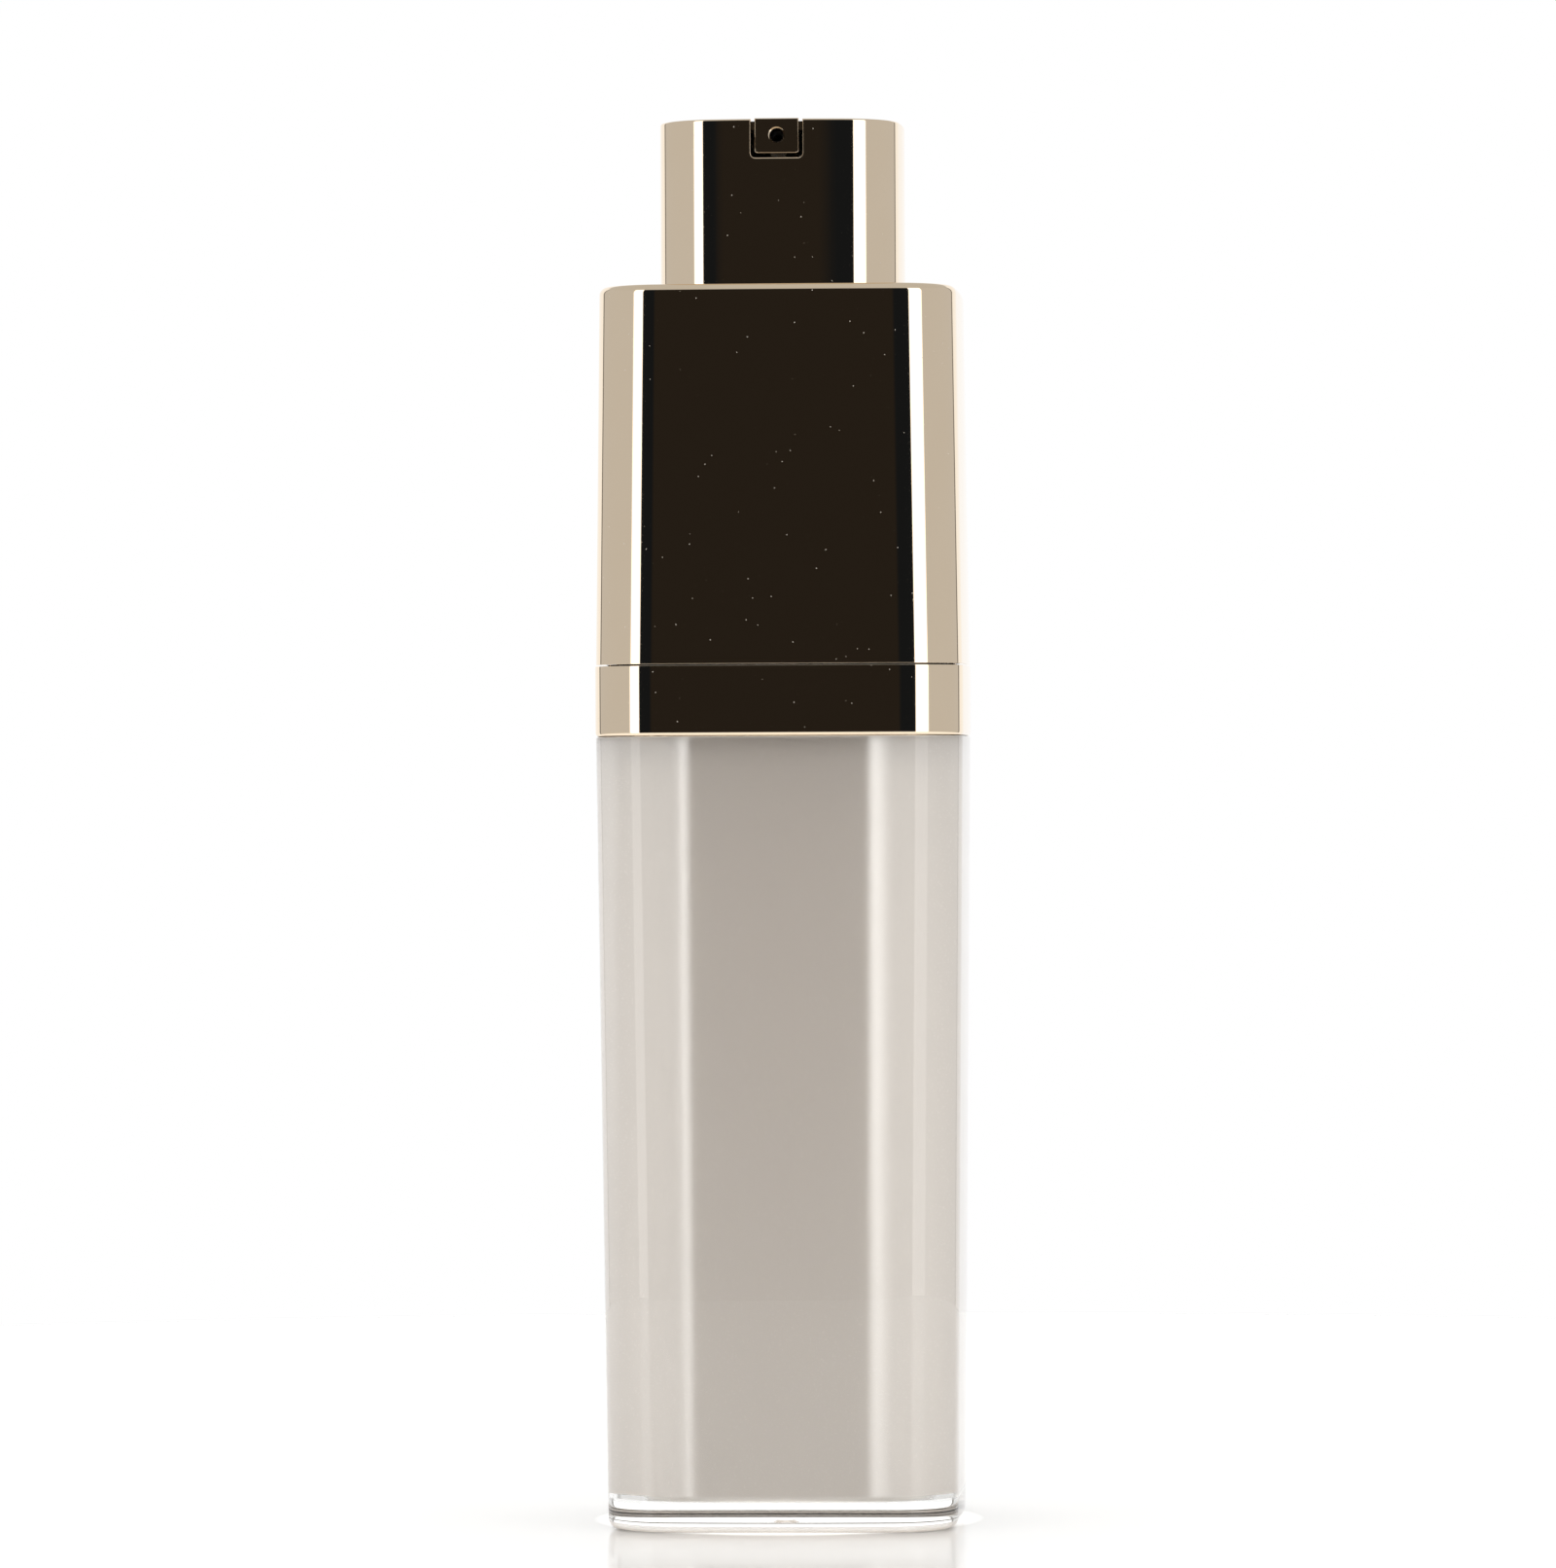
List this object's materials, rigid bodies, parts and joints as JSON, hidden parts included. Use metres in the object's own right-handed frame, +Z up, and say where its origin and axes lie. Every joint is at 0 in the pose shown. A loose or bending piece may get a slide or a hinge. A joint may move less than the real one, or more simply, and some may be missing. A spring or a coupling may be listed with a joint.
{
  "type": "airless pump bottle",
  "caption": "Square twist-up airless pump bottle: clear outer bottle over a pearl liner, metallised collar, sleeve and press button.",
  "frame": {"origin": "centre of the foot, on the plane of the table", "axes": "+Z up along the bottle's axis, the nozzle faces -Y"},
  "size_m": [0.034, 0.034, 0.1278],
  "materials": {
    "clear_acrylic": "polished",
    "pearl_plastic": "pearl",
    "gold_metallised": "polished",
    "white_plastic": "satin",
    "seal_plastic": "matte",
    "spring_steel": "drawn"
  },
  "bodies": {
    "bottle": {"outer_bottle": "clear_acrylic", "inner_liner": "pearl_plastic", "collar_ring": "gold_metallised", "cam_tube": "white_plastic"},
    "sleeve": {"shoulder_sleeve": "gold_metallised", "guide_tube": "white_plastic"},
    "carriage": {"inner_bottle": "white_plastic", "base_plug": "white_plastic", "lift_collar": "white_plastic", "pump_gasket": "seal_plastic", "pump_housing": "white_plastic", "ball_cage": "white_plastic", "stem_retainer": "white_plastic"},
    "button": {"actuator_shell": "gold_metallised", "nozzle_insert": "gold_metallised", "actuator_core": "white_plastic", "pump_stem": "white_plastic", "return_spring": "spring_steel"},
    "piston": {"pump_piston": "seal_plastic"},
    "follower": {"follower_piston": "white_plastic"},
    "ball": {"inlet_ball": "spring_steel"}
  },
  "joints": [
    {"name": "sleeve_turn", "type": "hinge", "parent": "bottle", "child": "sleeve", "pos_m": [0, 0, 0.0782], "axis": [0, 0, 1], "range_deg": [0, 90]},
    {"name": "head_lift", "type": "slide", "parent": "sleeve", "child": "carriage", "axis": [0, 0, -1], "range_m": [0, 0.0148]},
    {"name": "button_press", "type": "slide", "parent": "carriage", "child": "button", "axis": [0, 0, -1], "range_m": [0, 0.0045], "stiffness_N_per_m": 1200, "springref_m": -0.004, "deforming": ["return_spring"]},
    {"name": "piston_slip", "type": "slide", "parent": "button", "child": "piston", "axis": [0, 0, 1], "range_m": [0, 0.0006]},
    {"name": "follower_rise", "type": "slide", "parent": "carriage", "child": "follower", "axis": [0, 0, 1], "range_m": [0, 0.0615]},
    {"name": "ball_rise", "type": "slide", "parent": "carriage", "child": "ball", "axis": [0, 0, 1], "range_m": [0, 0.0008]}
  ],
  "couplings": [
    {"joint": "head_lift", "follows": "sleeve_turn", "m_per_rad": 0.009422}
  ]
}
